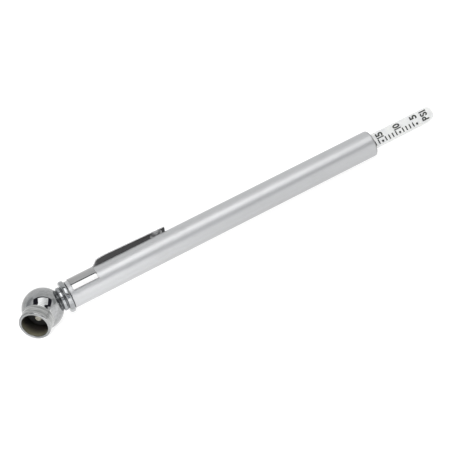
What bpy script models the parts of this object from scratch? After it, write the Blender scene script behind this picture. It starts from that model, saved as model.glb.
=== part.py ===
"""Pencil tire pressure gauge, built as its separate pieces.

The barrel frame is used while modelling: +X runs along the barrel from the ball chuck to the
scale bar, x = 0 is the barrel's chuck end, and the barrel's axis is y = z = 0. A turn is an
angle about the barrel's axis, counted from +Z towards -Y. All pieces hang from one empty, which
is moved at the end so that the gauge stands on z = 0 with its box centred on the origin.
All sizes below are in millimetres and degrees.
"""

import math

import bmesh
import bpy
from mathutils import Matrix, Vector

MM = 0.001
COLLECTION = "tire_pressure_gauge"
GAP = 0.3  # between two pieces that touch on the real gauge

# Barrel
BARREL_R = 5.0
BARREL_WALL = 0.45
BORE_R = BARREL_R - BARREL_WALL
BARREL_START_X = 0.35
BARREL_END_X = 126.0
ROLL_R = 1.1  # shoulder rolled inwards at the scale end
BAR_OPENING_R = 3.6

# Ball chuck
BALL_X = -10.07
BALL_R = 7.41
MOUTH_BEND = 52.8  # between the mouth's axis and -X
MOUTH_TURN = 104.8
RIM_OUT = 9.44  # from the ball's centre along the mouth's axis
RIM_OUTER_R = 5.7
MOUTH_R = 4.71
LIP_FOOT = 6.2
BLEND_FOOT = 1.95
POCKET_FLOOR = 0.64
CHAMBER_R = 3.0
CHAMBER_FLOOR = -2.0
AIR_BORE_R = 1.3
SEAL_FACE_DEPTH = 5.6  # below the rim
SEAL_THICKNESS = 1.6
SEAL_HOLE_R = 1.9
PIN_R = 1.05
PIN_TIP_DEPTH = 4.0
PIN_LEG_WIDTH = 1.2

# Neck, flange and spigot, all turned about the barrel's axis
FLANGE_R = 5.88
FLANGE_FRONT_X = 0.05
FLANGE_BACK_X = -1.85
FLANGE_EDGE_R = 0.6
GROOVE_R = 3.6
BEAD_X = -2.8
BEAD_R = 0.74
SPIGOT_R = BORE_R - GAP
SPIGOT_END_X = 7.0
RING_GROOVE_X = (3.2, 4.9)
RING_GROOVE_R = 3.1
RING_SECTION_R = 0.45

# Pocket clip
CLIP_TURN = -43.0
CLIP_THICKNESS = 0.35
CLIP_BAND_R = BARREL_R + 0.15
CLIP_BAND_X = (1.8, 11.7)
CLIP_BAND_HALF_ANGLE = 108.0
CLIP_ARM_WIDTH = 4.4
# the arm's middle line: distance along the barrel, distance from the barrel's axis
CLIP_ARM_LINE = ((10.6, 5.33), (12.0, 5.33), (14.1, 7.2), (41.4, 6.45))
DIMPLE_X = 37.8  # pressed down from the arm's free end towards the barrel
DIMPLE_R = 1.8
DIMPLE_LOW = 5.35
DIMPLE_TOP = 6.62

# Piston stack, from the chuck end
CUP_X = (7.4, 11.4)
CUP_R = 4.3
CUP_HOLLOW_R = 3.3
CUP_FLOOR_X = 10.3
STACK_HOLE_R = 1.2
WASHER_X = (9.6, 10.0)
WASHER_R = 2.8
RIVET_HEAD_X = 8.6
RIVET_HEAD_R = 1.9
RIVET_R = 0.9
RIVET_TAIL_X = (17.4, 18.2)
RIVET_TAIL_R = 1.7
PISTON_X = (11.7, 13.4)
PISTON_R = 4.25
PILOT_R = 3.1
PILOT_END_X = 17.1
SEAT_X = (13.7, 14.2)
SEAT_HOLE_R = 3.4

# Main spring
WIRE_R = 0.33
COIL_R = 3.92
SPRING_X = (14.9, 117.5)
SPRING_TURNS = 28
CLOSED_TURNS = 1.5  # at each end
CLOSED_PITCH = 1.05
POINTS_PER_TURN = 10

# Far end: spring stop, guide bushing and bar brake
STOP_X = (118.2, 118.8)
STOP_HOLE_R = 3.55
BUSH_X = (119.1, BARREL_END_X - BARREL_WALL - GAP)
BUSH_R = BORE_R - GAP
BUSH_HOLE_HALF = 2.85
BUSH_HOLE_EDGE_R = 0.6
BRAKE_POCKET_X = (119.9, 124.8)
BRAKE_POCKET_HALF_WIDTH = 1.5
BRAKE_POCKET_TOP = 3.65
BRAKE_THICKNESS = 0.25
BRAKE_WIDTH = 2.4
BRAKE_LINE = ((120.2, 3.3), (121.2, 3.05), (123.4, 3.05), (124.5, 3.3))

# Scale bar
BAR_TURN = 64.0  # of the printed face
BAR_HALF = 2.6
BAR_EDGE_R = 0.8
BAR_TAIL_HOME_X = 18.5  # the tail's place when the bar is pushed fully in
BAR_OUT = 26.4  # how far the bar stands out as modelled
BAR_TAIL_R = 3.4
BAR_TAIL_LENGTH = 2.5

ROUND_STEPS = 48


def clear_scene():
    """Empty the file that the script runs in."""
    for old in list(bpy.data.objects):
        bpy.data.objects.remove(old, do_unlink=True)
    for old in list(bpy.data.collections):
        bpy.data.collections.remove(old)


def new_collection(name):
    """Return a new collection linked to the scene."""
    made = bpy.data.collections.new(name)
    bpy.context.scene.collection.children.link(made)
    return made


def make_material(name, colour, roughness, metallic):
    """Return a Principled BSDF material."""
    material = bpy.data.materials.new(name)
    material.use_nodes = True
    shader = material.node_tree.nodes["Principled BSDF"]
    shader.inputs["Base Color"].default_value = (*colour, 1.0)
    shader.inputs["Roughness"].default_value = roughness
    shader.inputs["Metallic"].default_value = metallic
    return material


def radial(turn):
    """Return the unit vector at this turn about the barrel's axis."""
    angle = math.radians(turn)
    return Vector((0.0, -math.sin(angle), math.cos(angle)))


def mouth_axis():
    """Return the unit vector from the ball's centre out of the mouth."""
    bend = math.radians(MOUTH_BEND)
    return radial(MOUTH_TURN) * math.sin(bend) - Vector((math.cos(bend), 0.0, 0.0))


def along_barrel():
    """Return the matrix that lays local Z along +X."""
    return Matrix.Rotation(math.radians(90.0), 4, "Y")


def along_mouth():
    """Return the matrix that puts local Z on the mouth's axis, with the ball's centre at 0."""
    turn = Vector((0.0, 0.0, 1.0)).rotation_difference(mouth_axis())
    return Matrix.Translation((BALL_X * MM, 0.0, 0.0)) @ turn.to_matrix().to_4x4()


def barrel_plane(turn):
    """Return the matrix that lays local X along the barrel and local Y at this turn."""
    up = radial(turn)
    across = Vector((1.0, 0.0, 0.0)).cross(up)
    return Matrix(((1.0, up.x, across.x, 0.0), (0.0, up.y, across.y, 0.0),
                   (0.0, up.z, across.z, 0.0), (0.0, 0.0, 0.0, 1.0)))


def arc(centre, radius, start, end, steps):
    """Return points on an arc, in millimetres, with its angles in degrees."""
    points = []
    for step in range(steps + 1):
        angle = math.radians(start + (end - start) * step / steps)
        points.append((centre[0] + radius * math.cos(angle), centre[1] + radius * math.sin(angle)))
    return points


def rounded(points, radius, steps=4):
    """Return an open line with each inner corner turned into an arc of this radius."""
    line = [Vector(point) for point in points]
    out = [line[0]]
    for before, corner, after in zip(line, line[1:], line[2:]):
        back = (before - corner).normalized()
        ahead = (after - corner).normalized()
        half = back.angle(ahead) / 2.0
        reach = min(radius / math.tan(half), (before - corner).length / 2, (after - corner).length / 2)
        centre = corner + (back + ahead).normalized() * (reach / math.cos(half))
        first = corner + back * reach - centre
        last = corner + ahead * reach - centre
        swing = first.angle_signed(last)
        for step in range(steps + 1):
            angle = swing * step / steps
            out.append(centre + Matrix.Rotation(-angle, 2) @ first)
    out.append(line[-1])
    return [(point.x, point.y) for point in out]


def ribbon(points, thickness):
    """Return the closed outline of a strip of this thickness along a line."""
    line = [Vector(point) for point in points]
    sides = ([], [])
    for index, point in enumerate(line):
        ahead = line[min(index + 1, len(line) - 1)] - line[max(index - 1, 0)]
        normal = Vector((-ahead.y, ahead.x)).normalized() * (thickness / 2.0)
        sides[0].append(tuple(point + normal))
        sides[1].append(tuple(point - normal))
    return sides[0] + sides[1][::-1]


def place(thing, collection, matrix, parent):
    """Link an object and put it in the barrel frame."""
    collection.objects.link(thing)
    thing.parent = parent
    thing.matrix_basis = matrix
    return thing


def turned(name, profile, closed=False, steps=ROUND_STEPS):
    """Return an object turned about local Z. The profile is (radius, height), down the outside."""
    mesh = bpy.data.meshes.new(name)
    points = [(radius * MM, 0.0, height * MM) for radius, height in profile]
    edges = [(index, index + 1) for index in range(len(points) - 1)]
    if closed:
        edges.append((len(points) - 1, 0))
    mesh.from_pydata(points, edges, [])
    thing = bpy.data.objects.new(name, mesh)
    screw = thing.modifiers.new("turn", "SCREW")
    screw.axis = "Z"
    screw.angle = math.radians(360.0)
    screw.steps = steps
    screw.render_steps = steps
    screw.use_merge_vertices = True
    screw.merge_threshold = 0.00001
    screw.use_smooth_shade = True
    return thing


def ring(name, outer_r, inner_r, low, high):
    """Return a plain turned washer."""
    return turned(name, [(inner_r, high), (outer_r, high), (outer_r, low), (inner_r, low)], closed=True)


def box(name, half_x, half_y, half_z, centre):
    """Return a box made from the cube primitive, with its size in its mesh."""
    bpy.ops.mesh.primitive_cube_add(size=2.0)
    thing = bpy.context.active_object
    thing.name = name
    thing.data.name = name
    size = Matrix.Diagonal((half_x * MM, half_y * MM, half_z * MM, 1.0))
    thing.data.transform(Matrix.Translation(Vector(centre) * MM) @ size)
    for owner in list(thing.users_collection):
        owner.objects.unlink(thing)
    return thing


def soften(thing, radius):
    """Round all edges of a box."""
    edges = thing.modifiers.new("edges", "BEVEL")
    edges.width = radius * MM
    edges.segments = 3


def plate(name, outline, half_thickness, offset=0.0):
    """Return a mesh plate: a flat outline in local XY, extruded both ways along local Z."""
    curve = bpy.data.curves.new(name, "CURVE")
    curve.dimensions = "2D"
    curve.fill_mode = "BOTH"
    curve.extrude = half_thickness * MM
    spline = curve.splines.new("POLY")
    spline.points.add(len(outline) - 1)
    for point, (x, y) in zip(spline.points, outline):
        point.co = (x * MM, y * MM, 0.0, 1.0)
    spline.use_cyclic_u = True
    drawn = bpy.data.objects.new(name + "_outline", curve)
    bpy.context.scene.collection.objects.link(drawn)
    graph = bpy.context.evaluated_depsgraph_get()
    mesh = bpy.data.meshes.new_from_object(drawn.evaluated_get(graph))
    bpy.data.objects.remove(drawn)
    mesh.name = name
    mesh.transform(Matrix.Translation((0.0, 0.0, offset * MM)))
    weld(mesh)
    return bpy.data.objects.new(name, mesh)


def weld(mesh):
    """Merge a mesh's doubled points and turn its faces outwards."""
    work = bmesh.new()
    work.from_mesh(mesh)
    bmesh.ops.remove_doubles(work, verts=work.verts, dist=0.000001)
    bmesh.ops.recalc_face_normals(work, faces=work.faces)
    work.to_mesh(mesh)
    work.free()


class Builder:
    """Holds the collections and the parent empty while the pieces are added."""

    def __init__(self):
        self.parts = new_collection(COLLECTION)
        self.cutters = new_collection(COLLECTION + "_cutters")
        self.root = self.empty("gauge_frame", None)
        self.piston = self.empty("piston_axis", self.root)
        self.bar = self.empty("bar_axis", self.piston)

    def empty(self, name, parent):
        """Add an empty on the barrel's axis."""
        made = bpy.data.objects.new(name, None)
        made.empty_display_size = 0.01
        made.parent = parent
        self.parts.objects.link(made)
        return made

    def add(self, thing, matrix, material, parent=None):
        """Add a finished piece with its material."""
        place(thing, self.parts, matrix, parent or self.root)
        thing.data.materials.clear()
        thing.data.materials.append(material)
        return thing

    def boolean(self, thing, other, matrix, operation):
        """Join or cut a piece with a helper object that stays hidden."""
        place(other, self.cutters, matrix, thing.parent)
        other.hide_render = True
        other.display_type = "WIRE"
        change = thing.modifiers.new(operation.lower(), "BOOLEAN")
        change.operation = operation
        change.solver = "EXACT"
        change.object = other


def barrel(build, material):
    """Thin tube with its far end rolled in over the guide bushing."""
    shoulder = (BARREL_R - ROLL_R, BARREL_END_X - ROLL_R)
    profile = [(BAR_OPENING_R, BARREL_END_X)]
    profile += arc(shoulder, ROLL_R, 90.0, 0.0, 6)
    profile += [(BARREL_R, BARREL_START_X), (BORE_R, BARREL_START_X)]
    profile += arc(shoulder, ROLL_R - BARREL_WALL, 0.0, 90.0, 4)
    profile += [(BAR_OPENING_R, BARREL_END_X - BARREL_WALL)]
    tube = turned("barrel", profile, closed=True)
    return build.add(tube, along_barrel(), material)


def mouth_profile():
    """Return the ball, its mouth and the stepped hole inside, about the mouth's axis."""
    foot = math.degrees(math.asin(BLEND_FOOT / BALL_R))
    profile = [(0.0, CHAMBER_FLOOR), (CHAMBER_R, CHAMBER_FLOOR), (CHAMBER_R, POCKET_FLOOR)]
    profile += [(MOUTH_R, POCKET_FLOOR), (MOUTH_R, RIM_OUT - 0.2), (MOUTH_R + 0.2, RIM_OUT)]
    profile += arc((RIM_OUTER_R - 0.3, RIM_OUT - 0.3), 0.3, 90.0, 0.0, 3)
    profile += [(RIM_OUTER_R, LIP_FOOT + 0.3), (RIM_OUTER_R + 0.1, LIP_FOOT)]
    profile += arc((0.0, 0.0), BALL_R, foot, -90.0, 16)
    profile[-1] = (0.0, -BALL_R)
    return profile


def neck_profile():
    """Return the spigot, flange, bead and groove, from the spigot's end back into the ball."""
    ring_low, ring_high = RING_GROOVE_X
    profile = [(0.0, SPIGOT_END_X), (SPIGOT_R - 0.4, SPIGOT_END_X), (SPIGOT_R, SPIGOT_END_X - 0.4)]
    profile += [(SPIGOT_R, ring_high), (RING_GROOVE_R, ring_high)]
    profile += [(RING_GROOVE_R, ring_low), (SPIGOT_R, ring_low), (SPIGOT_R, FLANGE_FRONT_X)]
    edge = FLANGE_EDGE_R
    profile += arc((FLANGE_R - edge, FLANGE_FRONT_X - edge), edge, 90.0, 0.0, 4)
    profile += arc((FLANGE_R - edge, FLANGE_BACK_X + edge), edge, 0.0, -90.0, 4)
    profile += [(GROOVE_R, FLANGE_BACK_X)]
    profile += arc((GROOVE_R, BEAD_X), BEAD_R, 65.0, -65.0, 6)
    profile += [(GROOVE_R, BALL_X + 6.0), (GROOVE_R, BALL_X + 4.9), (0.0, BALL_X + 4.9)]
    return profile


def chuck_head(build, material):
    """Die-cast ball chuck: ball, slanted mouth, neck, flange and the spigot inside the barrel."""
    ball = build.add(turned("chuck_head", mouth_profile()), along_mouth(), material)
    neck = turned("neck_shape", neck_profile())
    build.boolean(ball, neck, along_barrel(), "UNION")
    middle = (SPIGOT_END_X + 1.0 + BALL_X) / 2.0
    half = (SPIGOT_END_X + 1.0 - BALL_X) / 2.0
    bore = turned("air_bore", [(0.0, middle + half), (AIR_BORE_R, middle + half),
                               (AIR_BORE_R, middle - half), (0.0, middle - half)], steps=20)
    build.boolean(ball, bore, along_barrel(), "DIFFERENCE")
    return ball


def valve_seal(build, material):
    """Rubber washer that the tire valve's end is pressed against."""
    top = RIM_OUT - SEAL_FACE_DEPTH
    low = top - SEAL_THICKNESS
    outer = MOUTH_R - GAP
    profile = [(SEAL_HOLE_R, top), (outer - 0.2, top), (outer, top - 0.2)]
    profile += [(outer, low), (SEAL_HOLE_R, low)]
    return build.add(turned("valve_seal", profile, closed=True), along_mouth(), material)


def depressor_pin(build, material):
    """Pin that opens the tire valve, on a foot with three legs that lets the air past."""
    foot_top = RIM_OUT - SEAL_FACE_DEPTH - SEAL_THICKNESS - GAP
    foot_low = POCKET_FLOOR + GAP
    tip = RIM_OUT - PIN_TIP_DEPTH
    profile = [(0.0, tip), (PIN_R - 0.25, tip), (PIN_R, tip - 0.25), (PIN_R, foot_low), (0.0, foot_low)]
    pin = build.add(turned("depressor_pin", profile, steps=24), along_mouth(), material)
    reach = (MOUTH_R - GAP) / 2.0
    thick = (foot_top - foot_low) / 2.0
    for index in range(3):
        leg = box(f"pin_leg_{index + 1}", reach, PIN_LEG_WIDTH / 2.0, thick,
                  (reach, 0.0, (foot_top + foot_low) / 2.0))
        spread = Matrix.Rotation(math.radians(120.0 * index), 4, "Z")
        build.boolean(pin, leg, along_mouth() @ spread, "UNION")
    return pin


def spigot_ring(build, material):
    """O-ring between the spigot and the barrel."""
    middle = sum(RING_GROOVE_X) / 2.0
    centre = (BORE_R - 0.25 - RING_SECTION_R, middle)
    section = arc(centre, RING_SECTION_R, 90.0, -270.0, 12)[:-1]
    return build.add(turned("spigot_ring", section, closed=True, steps=36), along_barrel(), material)


def dimple_profile(radius, low, above=0.0):
    """Return a bowl about the arm's normal: flat on top, half an ellipse below."""
    depth = DIMPLE_TOP - low
    profile = [(0.0, DIMPLE_TOP + above), (radius, DIMPLE_TOP + above)]
    if above:
        profile.append((radius, DIMPLE_TOP))
    for step in range(1, 6):
        angle = math.radians(90.0 * step / 6)
        profile.append((radius * math.cos(angle), DIMPLE_TOP - depth * math.sin(angle)))
    profile.append((0.0, low))
    return profile


def pocket_clip(build, material):
    """Spring-steel clip: a C band that grips the barrel and one long arm."""
    inner = CLIP_BAND_R
    outer = CLIP_BAND_R + CLIP_THICKNESS
    reach = CLIP_BAND_HALF_ANGLE
    outline = arc((0.0, 0.0), outer, 90.0 - reach, 90.0 + reach, 32)
    outline += arc((0.0, 0.0), inner, 90.0 + reach, 90.0 - reach, 32)
    low, high = CLIP_BAND_X
    band = plate("pocket_clip", outline, (high - low) / 2.0, offset=(low + high) / 2.0)
    end_on = barrel_plane(CLIP_TURN) @ Matrix.Rotation(math.radians(90.0), 4, "Y")
    clip = build.add(band, end_on, material)
    line = rounded(CLIP_ARM_LINE, 1.6)
    arm = plate("clip_arm_shape", ribbon(line, CLIP_THICKNESS), CLIP_ARM_WIDTH / 2.0)
    build.boolean(clip, arm, barrel_plane(CLIP_TURN), "UNION")
    upright = barrel_plane(CLIP_TURN) @ Matrix.Rotation(math.radians(-90.0), 4, "X")
    spot = upright @ Matrix.Translation((DIMPLE_X * MM, 0.0, 0.0))
    bump = turned("dimple_shape", dimple_profile(DIMPLE_R, DIMPLE_LOW), steps=24)
    build.boolean(clip, bump, spot, "UNION")
    hollow = dimple_profile(DIMPLE_R - CLIP_THICKNESS, DIMPLE_LOW + CLIP_THICKNESS, 1.0)
    build.boolean(clip, turned("dimple_hollow", hollow, steps=24), spot, "DIFFERENCE")
    return clip


def piston_parts(build, brass, rubber, steel):
    """Cup piston: rubber cup, its washer, the brass body, the rivet and the spring's seat."""
    axis = along_barrel()
    low, high = CUP_X
    cup = [(STACK_HOLE_R, high), (CUP_R - 0.2, high), (CUP_R, high - 0.2), (CUP_R, low)]
    cup += [(CUP_HOLLOW_R + 0.4, low), (CUP_HOLLOW_R, low + 1.0)]
    cup += [(CUP_HOLLOW_R, CUP_FLOOR_X), (STACK_HOLE_R, CUP_FLOOR_X)]
    build.add(turned("piston_cup", cup, closed=True), axis, rubber, build.piston)
    washer = ring("cup_washer", WASHER_R, STACK_HOLE_R, *WASHER_X)
    build.add(washer, axis, steel, build.piston)
    low, high = PISTON_X
    body = [(STACK_HOLE_R, PILOT_END_X), (PILOT_R - 0.4, PILOT_END_X), (PILOT_R, PILOT_END_X - 0.4)]
    body += [(PILOT_R, high), (PISTON_R, high), (PISTON_R, low), (STACK_HOLE_R, low)]
    build.add(turned("piston_body", body, closed=True), axis, brass, build.piston)
    tail_low, tail_high = RIVET_TAIL_X
    head_end = WASHER_X[0] - GAP
    rivet = [(0.0, tail_high), (RIVET_TAIL_R - 0.2, tail_high), (RIVET_TAIL_R, tail_high - 0.2)]
    rivet += [(RIVET_TAIL_R, tail_low), (RIVET_R, tail_low), (RIVET_R, head_end)]
    rivet += [(RIVET_HEAD_R, head_end), (RIVET_HEAD_R, RIVET_HEAD_X + 0.2)]
    rivet += [(RIVET_HEAD_R - 0.3, RIVET_HEAD_X), (0.0, RIVET_HEAD_X)]
    build.add(turned("piston_rivet", rivet, steps=24), axis, brass, build.piston)
    seat = ring("spring_seat", PISTON_R, SEAT_HOLE_R, *SEAT_X)
    build.add(seat, axis, steel, build.piston)


def spring_height(turn):
    """Return x after this many turns: closed end coils, then an even pitch between them."""
    low, high = SPRING_X
    ends = CLOSED_TURNS * CLOSED_PITCH
    if turn < CLOSED_TURNS:
        return low + turn * CLOSED_PITCH
    if turn > SPRING_TURNS - CLOSED_TURNS:
        return high - (SPRING_TURNS - turn) * CLOSED_PITCH
    pitch = (high - low - 2.0 * ends) / (SPRING_TURNS - 2.0 * CLOSED_TURNS)
    return low + ends + (turn - CLOSED_TURNS) * pitch


def main_spring(build, material):
    """Long compression spring between the piston and the spring stop."""
    curve = bpy.data.curves.new("main_spring", "CURVE")
    curve.dimensions = "3D"
    curve.bevel_depth = WIRE_R * MM
    curve.bevel_resolution = 2
    curve.use_fill_caps = True
    spline = curve.splines.new("POLY")
    count = SPRING_TURNS * POINTS_PER_TURN + 1
    spline.points.add(count - 1)
    for index, point in enumerate(spline.points):
        turn = index / POINTS_PER_TURN
        angle = 2.0 * math.pi * turn
        height = spring_height(turn) * MM
        point.co = (COIL_R * MM * math.cos(angle), COIL_R * MM * math.sin(angle), height, 1.0)
    return build.add(bpy.data.objects.new("main_spring", curve), along_barrel(), material)


def guide_end(build, nylon, steel):
    """Spring stop, guide bushing with a square hole, and the leaf that brakes the bar."""
    build.add(ring("spring_stop", BUSH_R, STOP_HOLE_R, *STOP_X), along_barrel(), steel)
    low, high = BUSH_X
    blank = turned("guide_bushing", [(0.0, high), (BUSH_R, high), (BUSH_R, low), (0.0, low)])
    bushing = build.add(blank, along_barrel(), nylon)
    middle = (low + high) / 2.0
    hole = box("bar_hole", (high - low) / 2.0 + 1.0, BUSH_HOLE_HALF, BUSH_HOLE_HALF, (middle, 0.0, 0.0))
    soften(hole, BUSH_HOLE_EDGE_R)
    build.boolean(bushing, hole, barrel_plane(BAR_TURN), "DIFFERENCE")
    low, high = BRAKE_POCKET_X
    bottom = BUSH_HOLE_HALF - 0.5
    pocket = box("brake_pocket", (high - low) / 2.0, (BRAKE_POCKET_TOP - bottom) / 2.0,
                 BRAKE_POCKET_HALF_WIDTH, ((low + high) / 2.0, (BRAKE_POCKET_TOP + bottom) / 2.0, 0.0))
    build.boolean(bushing, pocket, barrel_plane(BAR_TURN + 180.0), "DIFFERENCE")
    line = rounded(BRAKE_LINE, 1.5)
    leaf = plate("bar_brake", ribbon(line, BRAKE_THICKNESS), BRAKE_WIDTH / 2.0)
    build.add(leaf, barrel_plane(BAR_TURN + 180.0), steel)


def indicator_bar(build, material):
    """Square scale bar with rounded edges, and the round tail that keeps it in the barrel."""
    tail = BAR_TAIL_HOME_X + BAR_OUT
    tip = BARREL_END_X + BAR_OUT
    half = (tip - tail - 0.5) / 2.0
    bar = box("indicator_bar", half, BAR_HALF, BAR_HALF, (tip - half, 0.0, 0.0))
    build.add(bar, barrel_plane(BAR_TURN), material, build.bar)
    soften(bar, BAR_EDGE_R)
    top = tail + BAR_TAIL_LENGTH
    disc = turned("bar_tail", [(0.0, top), (BAR_TAIL_R, top), (BAR_TAIL_R, tail), (0.0, tail)], steps=32)
    build.boolean(bar, disc, along_barrel(), "UNION")
    return bar


def stand_on_floor(build):
    """Move the parent empty so that the pieces' box is centred on the origin and stands on z = 0."""
    bpy.context.view_layer.update()
    graph = bpy.context.evaluated_depsgraph_get()
    corners = []
    for thing in build.parts.objects:
        if thing.type == "EMPTY":
            continue
        shape = thing.evaluated_get(graph)
        corners += [thing.matrix_world @ vertex.co for vertex in shape.to_mesh().vertices]
    low = [min(corner[axis] for corner in corners) for axis in range(3)]
    high = [max(corner[axis] for corner in corners) for axis in range(3)]
    build.root.location = (-(low[0] + high[0]) / 2.0, -(low[1] + high[1]) / 2.0, -low[2])
    bpy.context.view_layer.update()
    print("barrel frame origin at", [round(value, 6) for value in build.root.location])


def main():
    """Build the gauge."""
    clear_scene()
    build = Builder()
    satin = make_material("satin_aluminium", (0.72, 0.73, 0.74), 0.32, 1.0)
    chrome = make_material("chrome_plate", (0.80, 0.80, 0.81), 0.08, 1.0)
    steel = make_material("spring_steel", (0.56, 0.57, 0.58), 0.25, 1.0)
    brass = make_material("brass", (0.72, 0.56, 0.28), 0.3, 1.0)
    rubber = make_material("black_rubber", (0.03, 0.03, 0.03), 0.7, 0.0)
    nylon = make_material("white_nylon", (0.82, 0.82, 0.80), 0.4, 0.0)
    grey_nylon = make_material("grey_nylon", (0.16, 0.16, 0.17), 0.5, 0.0)
    pin_metal = make_material("pin_metal", (0.62, 0.60, 0.55), 0.4, 1.0)
    barrel(build, satin)
    chuck_head(build, chrome)
    valve_seal(build, rubber)
    depressor_pin(build, pin_metal)
    spigot_ring(build, rubber)
    pocket_clip(build, chrome)
    piston_parts(build, brass, rubber, steel)
    main_spring(build, steel)
    guide_end(build, grey_nylon, steel)
    indicator_bar(build, nylon)
    stand_on_floor(build)


main()
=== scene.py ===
# %% [markdown]
# # A pencil tire pressure gauge
#
# The gauge is a slim metal barrel with a ball chuck at one end and a white scale bar that slides
# out of the other. The solid model fixes its size and its moving parts. This lesson gives each
# visible piece its real surface, works it out with numpy, and lets it ride on its body.

# %% Load the frame
import math

import bmesh
import bpy
import numpy as np
from mathutils import Matrix, Vector


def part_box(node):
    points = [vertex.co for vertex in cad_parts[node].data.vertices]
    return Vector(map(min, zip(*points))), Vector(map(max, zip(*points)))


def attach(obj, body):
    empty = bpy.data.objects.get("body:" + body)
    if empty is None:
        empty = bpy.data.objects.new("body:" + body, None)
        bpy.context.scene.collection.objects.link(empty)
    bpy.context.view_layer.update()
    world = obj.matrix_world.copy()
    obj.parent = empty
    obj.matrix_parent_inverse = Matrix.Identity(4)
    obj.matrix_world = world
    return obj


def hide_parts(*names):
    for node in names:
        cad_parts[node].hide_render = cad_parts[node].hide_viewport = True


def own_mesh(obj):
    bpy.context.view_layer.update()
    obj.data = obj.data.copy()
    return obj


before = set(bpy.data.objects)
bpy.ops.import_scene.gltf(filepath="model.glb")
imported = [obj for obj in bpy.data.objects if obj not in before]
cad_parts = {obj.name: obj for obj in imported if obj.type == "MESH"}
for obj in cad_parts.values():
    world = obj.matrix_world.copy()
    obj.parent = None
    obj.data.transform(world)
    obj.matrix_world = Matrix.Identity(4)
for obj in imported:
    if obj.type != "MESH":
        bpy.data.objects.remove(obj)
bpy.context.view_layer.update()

# %% [markdown]
# Everything round is turned about one of two lines: the barrel's axis, or the axis of the slanted
# mouth on the ball. The barrel's place is read from its solid piece. All later sizes are in
# millimetres in the barrel's own frame: x runs along the barrel from its chuck end, and a turn is
# an angle about it, counted from straight up towards the camera's side. One function brings such
# points into the frame's metres.

# %% The two axes
MM = 0.001
FLANGE_GAP = 0.35  # between x = 0 and the barrel's cut end
barrel_low, barrel_high = (np.array(corner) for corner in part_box("barrel"))
ORIGIN = (barrel_low + barrel_high) / 2.0
ORIGIN[0] = barrel_low[0] - FLANGE_GAP * MM
BARREL_R = (barrel_high[2] - barrel_low[2]) / 2.0 / MM
BARREL_END = (barrel_high[0] - ORIGIN[0]) / MM
X_AXIS = np.array([1.0, 0.0, 0.0])


def radial(turn):
    """Unit vector square to the barrel: (0, -sin, cos) of the turn in degrees."""
    angle = math.radians(turn)
    return np.array([0.0, -math.sin(angle), math.cos(angle)])


def to_row(points):
    """Barrel-frame millimetres to the frame's metres: scale by 0.001, then add the origin."""
    return np.asarray(points) * MM + ORIGIN


def beside(turn, x, up, aside):
    """Barrel-frame points: x along the barrel, up along the turn's radial, aside square to both."""
    raised = radial(turn)
    sideways = np.cross(raised, X_AXIS)
    return x[..., None] * X_AXIS + up[..., None] * raised + aside[..., None] * sideways


def axes_from(direction, near):
    """Three unit vectors: the direction, the part of near square to it, and their cross product."""
    along = direction / np.linalg.norm(direction)
    first = near - along * np.dot(near, along)
    first = first / np.linalg.norm(first)
    return along, first, np.cross(along, first)


MOUTH_BEND, MOUTH_TURN = math.radians(52.8), 104.8
BALL = np.array([-10.07, 0.0, 0.0])
BALL_R = 7.41
MOUTH_AXIS = radial(MOUTH_TURN) * math.sin(MOUTH_BEND) - X_AXIS * math.cos(MOUTH_BEND)
CLIP_TURN = -49.0
BAR_TURN = 64.0
print(f"barrel {2 * BARREL_R:.1f} mm across, {BARREL_END:.1f} mm to its rolled end")

# %% [markdown]
# The camera stands in front of the gauge and a little above, rolled so that the gauge climbs to
# the right. A long lens keeps the two ends nearly the same scale. It is set in the barrel's
# frame, so it follows the model.

# %% Camera
CAMERA_PLACE = np.array([-46.26, -412.3, 134.16])
CAMERA_LOOK = np.array([0.2415, 0.9208, -0.306])
CAMERA_UP = np.array([0.4387, 0.1776, 0.8809])
LENS, SENSOR = 98.86, 36.0


def configure(thing, **settings):
    """Set several of a thing's properties at once."""
    for name, value in settings.items():
        setattr(thing, name, value)
    return thing


def link(name, data):
    """A new object that shows this data in the scene."""
    made = bpy.data.objects.new(name, data)
    bpy.context.scene.collection.objects.link(made)
    return made


camera = link("camera", configure(bpy.data.cameras.new("camera"), lens=LENS, sensor_width=SENSOR,
                                  clip_start=0.01, clip_end=50.0))
back, up, side = axes_from(-CAMERA_LOOK, CAMERA_UP)
pose = Matrix(np.column_stack([-side, up, back]).tolist()).to_4x4()
pose.translation = Vector(to_row(CAMERA_PLACE))
camera.matrix_world = pose
bpy.context.scene.camera = camera
bpy.context.scene.view_settings.view_transform = "Standard"
print("camera", round(float(np.linalg.norm(CAMERA_PLACE)), 1), "mm from the chuck end")

# %% [markdown]
# Polished metal shows nothing but its surroundings, so the light is the most important material
# here. The set is a white tent: an even pale sky, one large soft panel above the camera with a
# dark frame round it, a grey flag at either side, and a darker patch where the camera stands. All
# are drawn in the world's own shader from the direction of each ray. A panel is a rectangle on a
# plane square to its centre line: the ray's two sideways parts over its forward part are its
# place there.

# %% World light
CAMERA_BACK = -CAMERA_LOOK / np.linalg.norm(CAMERA_LOOK)
CAMERA_SIDE = np.cross(CAMERA_LOOK, CAMERA_UP)
SKY_LOW, SKY_HIGH = (0.98, 0.98, 0.98), (0.90, 0.905, 0.91)
LAYERS = (
    # lift, swing, half width, half height, softness, fade, colour
    (44.0, 4.0, 1.12, 0.59, 0.09, 0.0, (0.03, 0.03, 0.04)),
    (20.0, -82.0, 0.45, 1.2, 0.40, 0.0, (0.55, 0.56, 0.58)),
    (20.0, 86.0, 0.40, 1.2, 0.40, 0.0, (0.50, 0.52, 0.52)),
    (0.0, 0.0, 0.80, 0.20, 0.16, 0.0, (0.40, 0.43, 0.48)),
    (45.5, 7.0, 0.49, 0.395, 0.04, 0.45, (2.7, 2.7, 2.7)),
)


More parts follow.
